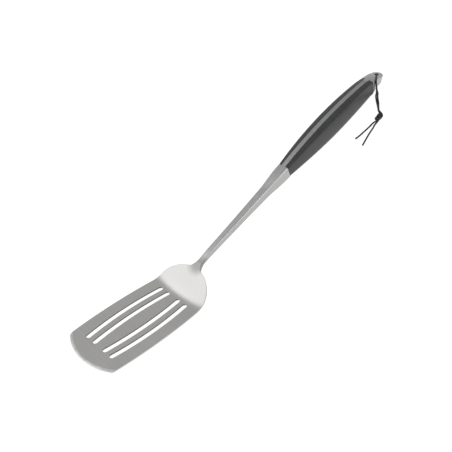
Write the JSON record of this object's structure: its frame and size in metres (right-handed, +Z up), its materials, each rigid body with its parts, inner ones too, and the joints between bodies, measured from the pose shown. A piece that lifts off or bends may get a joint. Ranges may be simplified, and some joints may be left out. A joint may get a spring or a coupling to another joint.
{
  "type": "grill spatula",
  "caption": "Long-handled grill spatula: slotted steel blade with bent-up heel, slim stem, dark handle scales, steel end cap and a knotted leather hanging lace.",
  "frame": {"origin": "centre of the footprint of the tool as it lies on a table, at table height, measured without the lace", "axes": "+X from the tip of the blade to the end of the handle, +Y to the right of someone who holds it, +Z up off the table"},
  "size_m": [0.4454, 0.0774, 0.0383],
  "materials": {
    "blade_steel": "brushed stainless sheet with a ground front edge",
    "stem_steel": "satin stainless bar, brushed lengthwise",
    "scale_resin": "dark grey resin-bonded laminate, sanded smooth",
    "hidden_steel": "plain turned dowels",
    "lace_leather": "round leather lace, matt black-brown"
  },
  "bodies": {
    "spatula": {"blade": "blade_steel", "stem": "stem_steel", "left_scale": "scale_resin", "right_scale": "scale_resin", "scale_pins": "hidden_steel", "end_cap": "stem_steel", "cap_dowels": "hidden_steel", "lace_loop": "lace_leather"},
    "lace": {"lace_strands": "lace_leather", "lace_knot": "lace_leather", "lace_tails": "lace_leather"}
  },
  "joints": [
    {"name": "lace_swing", "type": "hinge", "parent": "spatula", "child": "lace", "pos_m": [0.1989, -0.0116, 0.0009], "axis": [0, 0, 1], "range_deg": [-12, 100]}
  ]
}
